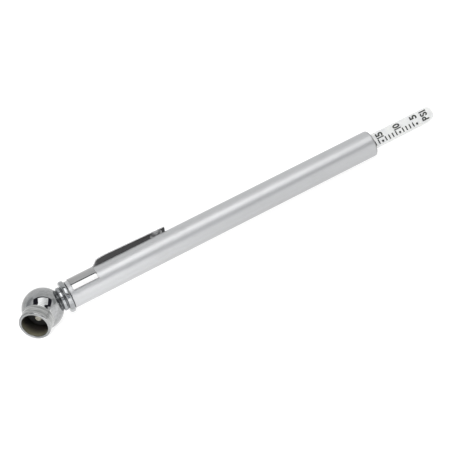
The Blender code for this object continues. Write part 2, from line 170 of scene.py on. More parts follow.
def new_group(name, inputs, outputs):
    """A shader node group with named sockets: (name, kind, default) each."""
    group = bpy.data.node_groups.new(name, "ShaderNodeTree")
    for title, kind, value in inputs:
        socket = group.interface.new_socket(title, in_out="INPUT", socket_type="NodeSocket" + kind)
        if value is not None:
            socket.default_value = value
    for title, kind in outputs:
        group.interface.new_socket(title, in_out="OUTPUT", socket_type="NodeSocket" + kind)
    enter = group.nodes.new("NodeGroupInput")
    leave = group.nodes.new("NodeGroupOutput")
    return group, enter.outputs, leave.inputs


def put(socket, value):
    """Link a socket or set its constant."""
    if isinstance(value, bpy.types.NodeSocket):
        socket.id_data.links.new(value, socket)
    elif value is not None:
        socket.default_value = value


def maths(tree, operation, *values, clamp=False):
    """A Math node on these values."""
    node = tree.nodes.new("ShaderNodeMath")
    node.operation = operation
    node.use_clamp = clamp
    for socket, value in zip(node.inputs, values):
        put(socket, value)
    return node.outputs[0]


def times(tree, first, second):
    """Two values multiplied."""
    return maths(tree, "MULTIPLY", first, second)


def vector_maths(tree, operation, first, second, output="Vector"):
    """A Vector Math node on two vectors."""
    node = tree.nodes.new("ShaderNodeVectorMath")
    node.operation = operation
    put(node.inputs[0], first)
    put(node.inputs[1], second)
    return node.outputs[output]


def dot(tree, first, second):
    """The dot product of two vectors, as a number."""
    return vector_maths(tree, "DOT_PRODUCT", first, second, "Value")


def remap(tree, value, low, high, to_low=0.0, to_high=1.0):
    """Carry the range low..high to to_low..to_high, clamped, with soft ends."""
    node = tree.nodes.new("ShaderNodeMapRange")
    node.interpolation_type = "SMOOTHSTEP"
    for name, given in zip(("Value", "From Min", "From Max", "To Min", "To Max"),
                           (value, low, high, to_low, to_high)):
        put(node.inputs[name], given)
    return node.outputs["Result"]


def mix_colour(tree, factor, first, second):
    """A Mix node on two colours, each a socket or (red, green, blue)."""
    node = tree.nodes.new("ShaderNodeMix")
    node.data_type = "RGBA"
    put(node.inputs["Factor"], factor)
    for socket, colour in zip(node.inputs[6:8], (first, second)):
        put(socket, (*colour, 1.0) if isinstance(colour, tuple) else colour)
    return node.outputs[2]


def use(tree, group, first, **values):
    """Place a group with its first input and others by name; underscores stand for spaces."""
    node = tree.nodes.new("ShaderNodeGroup")
    node.node_tree = group
    put(node.inputs[0], first)
    for name, value in values.items():
        put(node.inputs[name.replace("_", " ")], value)
    return node.outputs


def make_panel_group():
    """Mask of a soft-edged rectangle seen in a direction: 1 inside, 0 outside and behind.

    Fade is the part of the light that is lost between its left edge and its right edge.
    """
    inputs = [(name, "Vector", None) for name in ("Direction", "Centre", "Right", "Up")]
    inputs += [(name, "Float", 0.5) for name in ("Half Width", "Half Height", "Softness", "Fade")]
    group, given, result = new_group("light_panel", inputs, [("Mask", "Float")])
    forward = dot(group, given["Direction"], given["Centre"])
    ahead = maths(group, "MAXIMUM", forward, 0.001)
    places, edges = [], []
    for axis, half in (("Right", "Half Width"), ("Up", "Half Height")):
        sideways = dot(group, given["Direction"], given[axis])
        places.append(maths(group, "DIVIDE", sideways, ahead))
        inside = maths(group, "SUBTRACT", given[half], maths(group, "ABSOLUTE", places[-1]))
        edges.append(remap(group, inside, 0.0, given["Softness"]))
    front = maths(group, "GREATER_THAN", forward, 0.02)
    spread = maths(group, "DIVIDE", places[0], given["Half Width"])
    loss = times(group, remap(group, spread, -0.55, 0.75), given["Fade"])
    mask = times(group, times(group, *edges), front)
    put(result["Mask"], times(group, mask, maths(group, "SUBTRACT", 1.0, loss)))
    return group


PANEL = make_panel_group()


def panel(tree, direction, lift, swing, half_width, half_height, softness, fade):
    """Mask of one panel, lifted and swung in degrees from the line that looks at the camera."""
    lift, swing = math.radians(lift), math.radians(swing)
    centre = CAMERA_BACK * math.cos(lift) + CAMERA_UP * math.sin(lift)
    centre = centre * math.cos(swing) + CAMERA_SIDE * math.sin(swing)
    centre, up, left = axes_from(centre, CAMERA_UP)
    return use(tree, PANEL, direction, Centre=tuple(centre), Right=tuple(-left),
               Up=tuple(up), Half_Width=half_width, Half_Height=half_height, Softness=softness,
               Fade=fade)["Mask"]


world = bpy.data.worlds.new("tent")
world.use_nodes = True
world_tree = world.node_tree
direction = world_tree.nodes.new("ShaderNodeTexCoord").outputs["Generated"]
above = dot(world_tree, direction, (0.0, 0.0, 1.0))
sky = mix_colour(world_tree, remap(world_tree, above, -0.1, 1.0), SKY_LOW, SKY_HIGH)
for *shape, colour in LAYERS:
    sky = mix_colour(world_tree, panel(world_tree, direction, *shape), sky, colour)
put(world_tree.nodes["Background"].inputs["Color"], sky)
bpy.context.scene.world = world
print("world: pale tent with", len(world_tree.nodes), "nodes")

# %% [markdown]
# The floor is a plain white sheet. It runs on far enough that no view sees its edge, and it tips
# by about one degree, because the real gauge lies on its ball and on the barrel's far end. Two
# lamps that the metal doesn't mirror fill in: a broad one overhead, and a spot from the front
# that reaches into the mouth and the floor before it.

# %% Floor and lamps
FLOOR_HALF = 4.0
FLOOR_DROP = 0.02  # below the lowest point
FLOOR_TILT = (BALL_R - BARREL_R) / (BARREL_END - BALL[0])
SPOT_PLACE, SPOT_TARGET = (-20.0, -150.0, 110.0), (-6.0, -74.0, -8.0)
SHARP_ANGLE = math.radians(38.0)  # shading breaks at sharper folds


def surface(name, points, wrap_u=True, wrap_v=False, outward=True):
    """A mesh from a grid of points: each cell of the grid is one four-sided face.

    Wrapping joins a direction's last row to its first. Rows that meet in one point are merged,
    so a pole closes, and the faces are turned outwards.
    """
    index = np.arange(points[..., 0].size).reshape(points.shape[:2])
    index = np.pad(index, ((0, int(wrap_u)), (0, int(wrap_v))), mode="wrap")
    corners = np.stack([index[:-1, :-1], index[1:, :-1], index[1:, 1:], index[:-1, 1:]], axis=-1)
    corners = corners.reshape(-1, 4)
    mesh = bpy.data.meshes.new(name)
    mesh.vertices.add(points[..., 0].size)
    mesh.vertices.foreach_set("co", points.reshape(-1).astype(np.float32))
    mesh.loops.add(corners.size)
    mesh.loops.foreach_set("vertex_index", corners.reshape(-1).astype(np.int32))
    mesh.polygons.add(len(corners))
    mesh.polygons.foreach_set("loop_start", np.arange(0, corners.size, 4, dtype=np.int32))
    mesh.update(calc_edges=True)
    return finish_mesh(mesh, outward)


def finish_mesh(mesh, outward=True):
    """Merge doubled points, turn the faces outwards, shade smooth and link an object."""
    work = bmesh.new()
    work.from_mesh(mesh)
    bmesh.ops.remove_doubles(work, verts=work.verts, dist=1e-7)
    bmesh.ops.dissolve_degenerate(work, edges=work.edges, dist=1e-8)
    if outward:
        bmesh.ops.recalc_face_normals(work, faces=work.faces)
    work.to_mesh(mesh)
    work.free()
    mesh.shade_smooth()
    mesh.set_sharp_from_angle(angle=SHARP_ANGLE)
    return link(mesh.name, mesh)


def lamp(name, kind, place, target, **settings):
    """A lamp at one point that shines towards another, left out of mirrored light."""
    turn = (Vector(place) - Vector(target)).to_track_quat("Z", "Y").to_euler()
    made = link(name, configure(bpy.data.lights.new(name, kind), **settings))
    configure(made, location=place, rotation_euler=turn, visible_glossy=False)


side = np.linspace(-FLOOR_HALF, FLOOR_HALF, 9)
x, y = np.meshgrid(side, side, indexing="ij")
z = (x - to_row(BALL)[0]) * FLOOR_TILT - FLOOR_DROP * MM
floor = surface("floor", np.stack([x, y, z], axis=-1), wrap_u=False, outward=False)
lamp("key_light", "AREA", (0.15, -0.5, 0.95), (0.0, 0.0, 0.0), energy=3.0,
     shape="RECTANGLE", size=0.9, size_y=0.6)
lamp("front_spot", "SPOT", to_row(SPOT_PLACE), to_row(SPOT_TARGET), energy=6.5,
     spot_size=math.radians(52.0), spot_blend=1.0, shadow_soft_size=0.02)
print("floor tipped", round(math.degrees(math.atan(FLOOR_TILT)), 2), "degrees")

# %% [markdown]
# Most of the gauge is turned: its surfaces are a profile carried round an axis. The profile is
# drawn by its corners, and each corner is rounded with an arc, because no metal edge is truly
# sharp and the small radius catches the light along every rim.

# %% Profiles and turning
STEPS, SMALL_STEPS = 144, 96


def rounded(corners, closed=False, steps=6):
    """A line whose corners (x, y, radius) are each replaced by an arc that touches both sides."""
    corners = [tuple(corner) + (0.0,) * (3 - len(corner)) for corner in corners]
    places = np.array([corner[:2] for corner in corners])
    count = len(corners)
    line = []
    for index, (x, y, radius) in enumerate(corners):
        here = np.array([x, y])
        if radius == 0.0 or (not closed and index in (0, count - 1)):
            line.append(here)
            continue
        back = places[index - 1] - here
        ahead = places[(index + 1) % count] - here
        reach_back, reach_ahead = np.linalg.norm(back), np.linalg.norm(ahead)
        back, ahead = back / reach_back, ahead / reach_ahead
        half = math.acos(np.clip(np.dot(back, ahead), -1.0, 1.0)) / 2.0
        reach = min(radius / math.tan(half), reach_back * 0.49, reach_ahead * 0.49)
        middle = here + (back + ahead) / np.linalg.norm(back + ahead) * reach / math.cos(half)
        first = here + back * reach - middle
        last = here + ahead * reach - middle
        swing = math.atan2(first[0] * last[1] - first[1] * last[0], np.dot(first, last))
        for angle in np.linspace(0.0, swing, steps + 1):
            cos, sin = math.cos(angle), math.sin(angle)
            line.append(middle + np.array([cos * first[0] - sin * first[1],
                                           sin * first[0] + cos * first[1]]))
    return np.array(line)


def arc(centre, radius, start, end, steps):
    """Points on an arc: centre + radius (cos, sin) of angles in degrees."""
    angles = np.radians(np.linspace(start, end, steps + 1))
    return np.array(centre) + radius * np.stack([np.cos(angles), np.sin(angles)], axis=1)


def turned(name, profile, direction=X_AXIS, centre=(0.0, 0.0, 0.0), closed=False, steps=STEPS,
           arc_steps=6):
    """A turned surface. At height h and radius r the ring is
    centre + direction h + r (first cos a + second sin a), for angles a all the way round.
    A list of corners is rounded first."""
    if isinstance(profile, list):
        profile = rounded(profile, closed, arc_steps)
    along, first, second = axes_from(direction, radial(0.0))
    angles = np.linspace(0.0, 2.0 * math.pi, steps, endpoint=False)
    ring = np.outer(np.cos(angles), first) + np.outer(np.sin(angles), second)
    radius, height = profile[:, 0], profile[:, 1]
    points = ring[:, None, :] * radius[None, :, None] + (height[:, None] * along)[None, :, :]
    return surface(name, to_row(points + np.asarray(centre)), wrap_v=closed)


def settle(piece, body, slot, nodes, *materials):
    """Give a piece its materials, its body and the solid nodes it stands for, which are hidden;
    slot is not used.
    """
    for material in materials:
        piece.data.materials.append(material)
    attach(piece, body)
    if nodes:
        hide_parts(*nodes)
    print(f"{piece.name}: {len(piece.data.polygons)} faces on {body}")
    return piece


# %% [markdown]
# Every finish uses three shared effects. `streaks` stretches a noise along one line, as drawing
# and polishing leave it. `smudges` is a broad, uneven film from handling. `specks` is a fine
# grain. Each gives out only values, and the material decides what they change.

# %% Shared surface effects
def noise(tree, vector, scale, detail=3.0, roughness=0.55):
    """A Noise Texture's value on a vector."""
    node = tree.nodes.new("ShaderNodeTexNoise")
    put(node.inputs["Vector"], vector)
    put(node.inputs["Scale"], scale)
    node.inputs["Detail"].default_value = detail
    node.inputs["Roughness"].default_value = roughness
    return node.outputs["Fac"]


def make_streaks():
    """Noise on coordinates that are shrunk along the drawing direction."""
    group, given, result = new_group(
        "streaks", [("Vector", "Vector", None), ("Stretch", "Vector", (1.0, 1.0, 1.0)),
                    ("Fineness", "Float", 1.0)], [("Height", "Float"), ("Tone", "Float")])
    drawn = vector_maths(group, "MULTIPLY", given["Vector"], given["Stretch"])
    fine = noise(group, drawn, given["Fineness"], 4.0, 0.7)
    broad = noise(group, drawn, times(group, given["Fineness"], 0.22), 2.0)
    put(result["Height"], fine)
    both = maths(group, "ADD", times(group, fine, 0.5), times(group, broad, 0.5))
    put(result["Tone"], remap(group, both, 0.34, 0.66))
    return group


def make_smudges():
    """Two broad noises multiplied, so that bare and handled patches alternate."""
    group, given, result = new_group(
        "smudges", [("Vector", "Vector", None), ("Size", "Float", 100.0), ("Amount", "Float", 1.0)],
        [("Mask", "Float")])
    wide = remap(group, noise(group, given["Vector"], given["Size"], 3.0), 0.40, 0.68)
    small = noise(group, given["Vector"], times(group, given["Size"], 5.3), 5.0, 0.7)
    both = times(group, wide, remap(group, small, 0.30, 0.70))
    put(result["Mask"], maths(group, "MULTIPLY", both, given["Amount"], clamp=True))
    return group


def make_specks():
    """Fine grain: a noise for height and its sharpened peaks as a mask."""
    group, given, result = new_group(
        "specks", [("Vector", "Vector", None), ("Fineness", "Float", 3000.0)],
        [("Height", "Float"), ("Mask", "Float")])
    grain = noise(group, given["Vector"], given["Fineness"], 4.0, 0.6)
    put(result["Height"], grain)
    put(result["Mask"], remap(group, grain, 0.56, 0.70))
    return group


STREAKS, SMUDGES, SPECKS = make_streaks(), make_smudges(), make_specks()


def start_material(name, **constants):
    """A new material, its tree and its Object coordinates. Constants go on the shader."""
    material = bpy.data.materials.new(name)
    material.use_nodes = True
    tree = material.node_tree
    for title, value in constants.items():
        tree.nodes["Principled BSDF"].inputs[title.replace("_", " ")].default_value = value
    return material, tree, tree.nodes.new("ShaderNodeTexCoord").outputs["Object"]


def close_material(material, tone, rough, height=None, strength=0.0, distance=0.0):
    """Feed the shader its tone and roughness, and a height through a Bump node to its Normal."""
    tree = material.node_tree
    shader = tree.nodes["Principled BSDF"]
    put(shader.inputs["Base Color"], tone)
    put(shader.inputs["Roughness"], rough)
    if height is not None:
        node = tree.nodes.new("ShaderNodeBump")
        for title, value in (("Strength", strength), ("Distance", distance), ("Height", height)):
            put(node.inputs[title], value)
        put(shader.inputs["Normal"], node.outputs["Normal"])
    return material


# %% [markdown]
# The barrel is a drawn tube with a satin bright finish. Drawing leaves faint lines along it, so
# its streaks are hundreds of times longer than wide. They change the roughness and tilt the
# surface slightly across the tube, which spreads each reflection into a soft band.

# %% Satin tube finish
LIP_SHADE_REACH, LIP_SHADE_CLEAR = 0.8, 0.1  # before the rolled end: painted shade starts, is full


def satin_tube():
    """Streaks for height and tone, a handling film, and painted shade with some grime on the rolled
    lip.
    """
    material, tree, place = start_material("satin_tube", Metallic=1.0)
    lines = use(tree, STREAKS, place, Stretch=(9.0, 900.0, 900.0), Fineness=1.0)
    film = use(tree, SMUDGES, place, Size=90.0, Amount=0.8)
    tone = mix_colour(tree, lines["Tone"], (0.535, 0.540, 0.548), (0.575, 0.580, 0.588))
    tone = mix_colour(tree, times(tree, film["Mask"], 0.35), tone, (0.50, 0.50, 0.505))
    along = dot(tree, place, (1.0, 0.0, 0.0))
    # the rolled lip is painted dark: shade and dark reflection at its edge, with some grime
    rim = [float(to_row([BARREL_END - before, 0.0, 0.0])[0]) for before in (LIP_SHADE_REACH, LIP_SHADE_CLEAR)]
    tone = mix_colour(tree, remap(tree, along, *rim), tone, (0.16, 0.16, 0.16))
    rough = remap(tree, lines["Tone"], 0.0, 1.0, 0.41, 0.46)
    rough = maths(tree, "ADD", rough, times(tree, film["Mask"], 0.06))
    return close_material(material, tone, rough, lines["Height"], 0.12, 0.00001)


# %% [markdown]
# The chuck is a zinc casting under bright chrome. Such plating follows the polisher's strokes, so
# reflections in it wobble. A broad, low bump does that, and fine hair scratches and a thin film
# keep it from looking new.

# %% Chrome finish
def chrome(name, low, high, wave, film_amount):
    """Bright plating: tone between two greys, a slow wave as bump, and handling marks."""
    material, tree, place = start_material(name, Metallic=1.0)
    film = use(tree, SMUDGES, place, Size=260.0, Amount=film_amount)
    hair = use(tree, STREAKS, place, Stretch=(260.0, 2300.0, 1500.0), Fineness=1.0)
    tone = mix_colour(tree, hair["Tone"], low, high)
    tone = mix_colour(tree, times(tree, film["Mask"], 0.5), tone, (0.24, 0.245, 0.235))
    rough = remap(tree, film["Mask"], 0.0, 1.0, 0.05, 0.12)
    height = maths(tree, "ADD", noise(tree, place, 330.0, 2.0), times(tree, hair["Height"], 0.03))
    return close_material(material, tone, rough, height, 0.5, wave)


# %% [markdown]
# Inside the mouth the metal is bare and olive near the rim; deeper down it is painted near-black
# as shade. Round the mouth's lip the plating shows the rings that the cutting tool left. The pin,
# rubber, brass, steel, grey nylon and the clip's inner side, painted near-black as shade, share
# one recipe, each with a grain of its own.

# %% Small finishes
def grained(name, low, high, roughness, fineness, depth, metallic=0.0):
    """One recipe for plain finishes: grain picks the tone, and a film changes the gloss."""
    material, tree, place = start_material(name, Metallic=metallic)
    grain = use(tree, SPECKS, place, Fineness=fineness)
    marks = use(tree, SMUDGES, place, Size=fineness * 0.12, Amount=0.4)
    tone = mix_colour(tree, grain["Mask"], low, high)
    rough = remap(tree, marks["Mask"], 0.0, 1.0, *roughness)
    return close_material(material, tone, rough, grain["Height"], 0.4, depth)


def mouth_height(tree, place):
    """How far a point lies along the mouth's axis from the ball's middle, in metres."""
    moved = vector_maths(tree, "SUBTRACT", place, tuple(to_row(BALL)))
    return dot(tree, moved, tuple(MOUTH_AXIS))


def bore_metal():
    """Bare olive metal near the rim, painted near-black deeper in the hole as shade."""
    material, tree, place = start_material("bore_metal", Metallic=0.3)
    grain = use(tree, SPECKS, place, Fineness=1400.0)
    bare = mix_colour(tree, grain["Mask"], (0.095, 0.090, 0.062), (0.145, 0.138, 0.098))
    # near the rim the bare metal shows; deeper in the hole the colour is painted near-black as
    # shade
    unshaded = remap(tree, mouth_height(tree, place), 0.0054, 0.0098)
    tone = mix_colour(tree, unshaded, (0.012, 0.010, 0.009), bare)
    rough = remap(tree, grain["Height"], 0.3, 0.7, 0.4, 0.6)
    return close_material(material, tone, rough, grain["Height"], 0.4, 0.00002)


def turned_chrome():
    """Plating over tool marks: a noise that is fine along the mouth's axis and long around it."""
    material, tree, place = start_material("turned_chrome", Metallic=1.0)
    cut = tree.nodes.new("ShaderNodeCombineXYZ")
    along = dot(tree, place, (1.0, 0.0, 0.0))
    put(cut.inputs["X"], times(tree, mouth_height(tree, place), 1500.0))
    put(cut.inputs["Y"], times(tree, along, 210.0))
    lines = noise(tree, cut.outputs["Vector"], 1.0, 4.0, 0.65)
    film = use(tree, SMUDGES, place, Size=300.0, Amount=0.8)
    marks = remap(tree, lines, 0.36, 0.64)
    tone = mix_colour(tree, marks, (0.27, 0.275, 0.27), (0.45, 0.455, 0.45))
    rough = remap(tree, film["Mask"], 0.0, 1.0, 0.20, 0.32)
    return close_material(material, tone, rough, lines, 0.35, 0.00003)


SATIN = satin_tube()
CHROME = chrome("chrome_casting", (0.27, 0.275, 0.275), (0.40, 0.405, 0.41), 0.00003, 0.9)
NECK_CHROME = chrome("chrome_neck", (0.29, 0.30, 0.31), (0.47, 0.48, 0.49), 0.00003, 0.9)
CLIP_CHROME = chrome("chrome_clip", (0.38, 0.38, 0.38), (0.44, 0.44, 0.44), 0.000008, 0.5)
BORE_METAL = bore_metal()
TURNED_CHROME = turned_chrome()
PLAIN = {
    # name: (low tone, high tone, roughness, fineness, depth, metallic)
    "pin_metal": ((0.44, 0.42, 0.35), (0.54, 0.52, 0.44), (0.35, 0.5), 1800.0, 0.00001, 0.15),
    # painted shade: the clip's inner side is near-black, standing in for its shadowed underside
    "clip_underside_painted_shade": ((0.055, 0.055, 0.057), (0.08, 0.08, 0.082), (0.38, 0.5), 2200.0,
                         0.00001, 0.7),
    "clip_rubbed_steel": ((0.46, 0.46, 0.462), (0.54, 0.54, 0.542), (0.42, 0.50), 2200.0,
                          0.00001, 0.8),
    "black_rubber": ((0.016, 0.016, 0.016), (0.035, 0.035, 0.034), (0.6, 0.8), 2600.0, 0.00003),
    "turned_brass": ((0.58, 0.42, 0.17), (0.68, 0.52, 0.24), (0.25, 0.4), 2000.0, 0.00001, 1.0),
    "spring_steel": ((0.36, 0.36, 0.37), (0.46, 0.46, 0.47), (0.22, 0.38), 2200.0, 0.00001, 1.0),
    "grey_nylon": ((0.085, 0.086, 0.09), (0.11, 0.111, 0.115), (0.42, 0.55), 2400.0, 0.00002),
}
PIN_METAL, CLIP_UNDERSIDE_SHADE, CLIP_WORN, RUBBER, BRASS, STEEL, GREY_NYLON = (
    grained(name, *values) for name, values in PLAIN.items())
print("finishes:", len(bpy.data.materials))

# %% [markdown]
# The barrel is a thin wall, cut square at the chuck and rolled inwards at the scale end. Its
# profile is one closed loop, so the wall has its true thickness at the rolled lip.

# %% Barrel
WALL = 0.45
ROLL = 1.1
OPENING = 3.6

barrel_tube = turned("barrel_tube", [
    (OPENING, BARREL_END, 0.12), (BARREL_R, BARREL_END, ROLL), (BARREL_R, FLANGE_GAP, 0.1),
    (BARREL_R - WALL, FLANGE_GAP, 0.1), (BARREL_R - WALL, BARREL_END - WALL, ROLL - WALL),
    (OPENING, BARREL_END - WALL, 0.12)], closed=True, arc_steps=10)
settle(barrel_tube, "barrel", "barrel_metal", ["barrel"], SATIN)

# %% [markdown]
# The ball and its mouth are one casting. Seen along the mouth's axis it is a turned shape: a
# sphere, a short collar with a rounded rim, and the stepped hole for the valve stem. The hole's
# faces get the bare metal and the collar's the tool marks, chosen by where they lie.

# %% Ball and mouth
RIM = 9.44
LIP_R = 5.7
MOUTH_R = 4.71
LIP_FOOT = 4.9
BLEND_FOOT = 4.35
HOLE_FLOOR = 0.64
BORE_R, BORE_FLOOR = 3.0, -2.0

ball_foot = math.degrees(math.asin(BLEND_FOOT / BALL_R))
inside = rounded([(0.0, BORE_FLOOR), (BORE_R, BORE_FLOOR, 0.2), (BORE_R, HOLE_FLOOR, 0.1),
                  (MOUTH_R, HOLE_FLOOR, 0.15), (MOUTH_R, RIM - 0.35)], steps=4)
lip = rounded([(MOUTH_R, RIM - 0.3), (MOUTH_R + 0.02, RIM, 0.28), (LIP_R, RIM, 0.38),
               (LIP_R - 0.08, LIP_FOOT, 0.4),
               (BALL_R * math.cos(math.radians(ball_foot)), BLEND_FOOT)], steps=8)
sphere = arc((0.0, 0.0), BALL_R, ball_foot, -90.0, 60)
sphere[-1, 0] = 0.0
ball_profile = np.concatenate([inside, lip, sphere[1:]])
chuck_ball = turned("chuck_ball", ball_profile, MOUTH_AXIS, BALL)


def rows_of(items, field):
    """A field of all the vertices or faces of a mesh, one row of x, y, z each."""
    values = np.empty(len(items) * 3)
    items.foreach_get(field, values)
    return values.reshape(-1, 3)


def mark_hole(mesh):
    """Second material on the faces inside the hole, third on the collar round it."""
    local = (rows_of(mesh.polygons, "center") - to_row(BALL)) / MM
    height = local @ MOUTH_AXIS
    distance = np.linalg.norm(local - height[:, None] * MOUTH_AXIS, axis=1)
    hole = (distance < MOUTH_R + 0.05) & (height > BORE_FLOOR - 0.5) & (height < RIM - 0.3)
    collar = ~hole & (height > LIP_FOOT - 0.3) & (height < RIM - 0.25)
    mesh.polygons.foreach_set("material_index", (hole + 2 * collar).astype(np.int32))
    return int(hole.sum())


settle(chuck_ball, "barrel", "chrome", ["chuck_head"], CHROME, BORE_METAL, TURNED_CHROME)
print("hole faces:", mark_hole(chuck_ball.data))

# %% [markdown]
# The neck is turned about the barrel's axis: a narrow waist at the ball, a bead, a second groove,
# and the flange that the barrel butts against. It runs on as the spigot inside the barrel, with
# a seat for its O-ring.

# %% Neck
FLANGE_R = 5.88
SPIGOT_R, SPIGOT_END = 4.25, 7.0
RING_SEAT_R, RING_LOW, RING_HIGH = 3.1, 3.2, 4.9

chuck_neck = turned("chuck_neck", [
    (0.0, SPIGOT_END), (SPIGOT_R, SPIGOT_END, 0.4), (SPIGOT_R, RING_HIGH, 0.1),
    (RING_SEAT_R, RING_HIGH, 0.1), (RING_SEAT_R, RING_LOW, 0.1), (SPIGOT_R, RING_LOW, 0.1),
    (SPIGOT_R, 0.05, 0.05), (FLANGE_R, 0.05, 0.62), (FLANGE_R, -1.85, 0.78), (3.75, -1.95, 0.2),
    (4.36, -2.2, 0.5), (4.36, -3.35, 0.55), (3.55, -3.6, 0.2), (3.55, -5.2), (0.0, -5.2)],
    arc_steps=8)
settle(chuck_neck, "barrel", "chrome", [], NECK_CHROME)

# %% [markdown]
# Deep in the mouth sit the rubber washer that seals on the valve and the pin that opens it. The
# pin stands on a flat foot with three legs that let the air past.

# %% Seal and pin
SEAL_IN, SEAL_OUT = 1.9, 4.41
SEAL_TOP = RIM - 5.6
SEAL_LOW = SEAL_TOP - 1.6
PIN_TIP = RIM - 4.0
FOOT_LOW, FOOT_TOP = 0.94, 1.9
LEG_IN, LEG_OUT = 1.2, 4.3


def washer(inner, outer, high, low, *radii):
    """The corners of a ring: its four rounding radii run from the inner high corner outwards."""
    places = (inner, high), (outer, high), (outer, low), (inner, low)
    return [(*place, radius) for place, radius in zip(places, radii)]


valve_washer = turned("valve_washer", washer(SEAL_IN, SEAL_OUT, SEAL_TOP, SEAL_LOW,
                                             0.25, 0.3, 0.1, 0.1),
                      MOUTH_AXIS, BALL, closed=True, steps=SMALL_STEPS)
settle(valve_washer, "barrel", "rubber", ["valve_seal"], RUBBER)

valve_pin = turned("valve_pin", [
    (0.0, PIN_TIP + 0.02), (0.95, PIN_TIP, 0.25), (1.3, PIN_TIP - 0.4, 0.3), (1.3, FOOT_TOP, 0.2),
    (1.5, FOOT_TOP, 0.1), (1.5, FOOT_LOW + 0.02, 0.05), (0.0, FOOT_LOW + 0.02)],
    MOUTH_AXIS, BALL, steps=64, arc_steps=5)
settle(valve_pin, "barrel", "pin_metal", ["depressor_pin"], PIN_METAL)


def three_legs(name):
    """A plate whose rim is r = inner + (outer - inner) |cos(1.5 a)|^4 at the angle a."""
    along, first, second = axes_from(MOUTH_AXIS, radial(0.0))
    angles = np.linspace(0.0, 2.0 * math.pi, 180, endpoint=False)
    rim = LEG_IN + (LEG_OUT - LEG_IN) * np.abs(np.cos(1.5 * angles)) ** 4
    ring = np.outer(np.cos(angles), first) + np.outer(np.sin(angles), second)
    scale = np.array([0.0, 0.94, 1.0, 1.0, 0.94, 0.0])
    height = np.array([FOOT_LOW, FOOT_LOW, FOOT_LOW + 0.1, FOOT_TOP - 0.1, FOOT_TOP, FOOT_TOP])
    flat = ring[:, None, :] * rim[:, None, None] * scale[None, :, None]
    return surface(name, to_row(flat + (height[:, None] * along)[None] + BALL))


settle(three_legs("pin_foot"), "barrel", "pin_metal", [], PIN_METAL)

# %% [markdown]
# The clip is one sheet of spring steel: a band round the barrel and an arm that leaves its edge.
# One rule makes both. A point has a place x along the barrel and an arc length w across. The band
# is curved to the barrel's radius; in the arm the curvature fades to almost flat while a smooth
# step lifts it off the barrel. A round dimple near the free end presses on the cloth.

# %% Pocket clip
CLIP_SHEET, EDGE_WIDTH = 0.35, 0.05
CLIP_R = BARREL_R + 0.07 + CLIP_SHEET / 2.0
BAND_START, BAND_END = 1.8, 11.7
BAND_HALF = CLIP_R * math.radians(114.0)
ARM_HALF = 2.95
ARM_FLARE = 0.9
ARM_TOP, ARM_TIP = 6.95, 6.12
RISE_END, TIP_END = 14.5, 41.5
TIP_ROUND = 0.7
DIMPLE_X, DIMPLE_ACROSS = 37.9, -0.75
DIMPLE_R, DIMPLE_DEPTH = 2.4, 1.15
BEND_END = RISE_END + 0.6  # where the arm's section has become nearly flat
ARM_BEND = 0.035  # its curvature there, per millimetre
RISE_SHARE, SLOW_END = 0.72, RISE_END + 4.0  # the rise's quick share, its slow part's end


def smooth_step(value, low, high):
    """3 t^2 - 2 t^3 of the value's place t between low and high."""
    t = np.clip((value - low) / (high - low), 0.0, 1.0)
    return t * t * (3.0 - 2.0 * t)


def clip_sheet(x, across):
    """The sheet's middle surface at x and arc length across.

    Lift: a smooth step from the band's radius to the arm's straight line. Curvature k: a smooth
    step from 1 / radius to nearly flat. The point is sideways by sin(k w) / k and lower by
    (1 - cos(k w)) / k, minus a bell-shaped dimple.
    """
    line = ARM_TOP + (x - RISE_END) * (ARM_TIP - ARM_TOP) / (TIP_END - RISE_END)
    rise = (RISE_SHARE * smooth_step(x, BAND_END + 0.05, RISE_END)
            + (1.0 - RISE_SHARE) * smooth_step(x, BAND_END + 0.6, SLOW_END))
    lift = CLIP_R + (line - CLIP_R) * rise
    bend = 1.0 / CLIP_R + (ARM_BEND - 1.0 / CLIP_R) * smooth_step(x, BAND_END, BEND_END)
    sideways = np.sin(bend * across) / bend
    drop = (1.0 - np.cos(bend * across)) / bend
    reach = np.sqrt((x - DIMPLE_X) ** 2 + (across - DIMPLE_ACROSS) ** 2) / DIMPLE_R
    drop = drop + DIMPLE_DEPTH * np.clip(1.0 - reach ** 2, 0.0, 1.0) ** 1.5
    return beside(CLIP_TURN, x, lift - drop, sideways)


def half_width(x):
    """The arm's half width: flared where it leaves the band, rounded at its free end."""
    flare = ARM_FLARE * np.clip(1.0 - (x - BAND_END) / 1.6, 0.0, 1.0) ** 2
    into = np.clip(x - (TIP_END - TIP_ROUND), 0.0, TIP_ROUND)
    return ARM_HALF + flare - TIP_ROUND + np.sqrt(TIP_ROUND ** 2 - into ** 2)


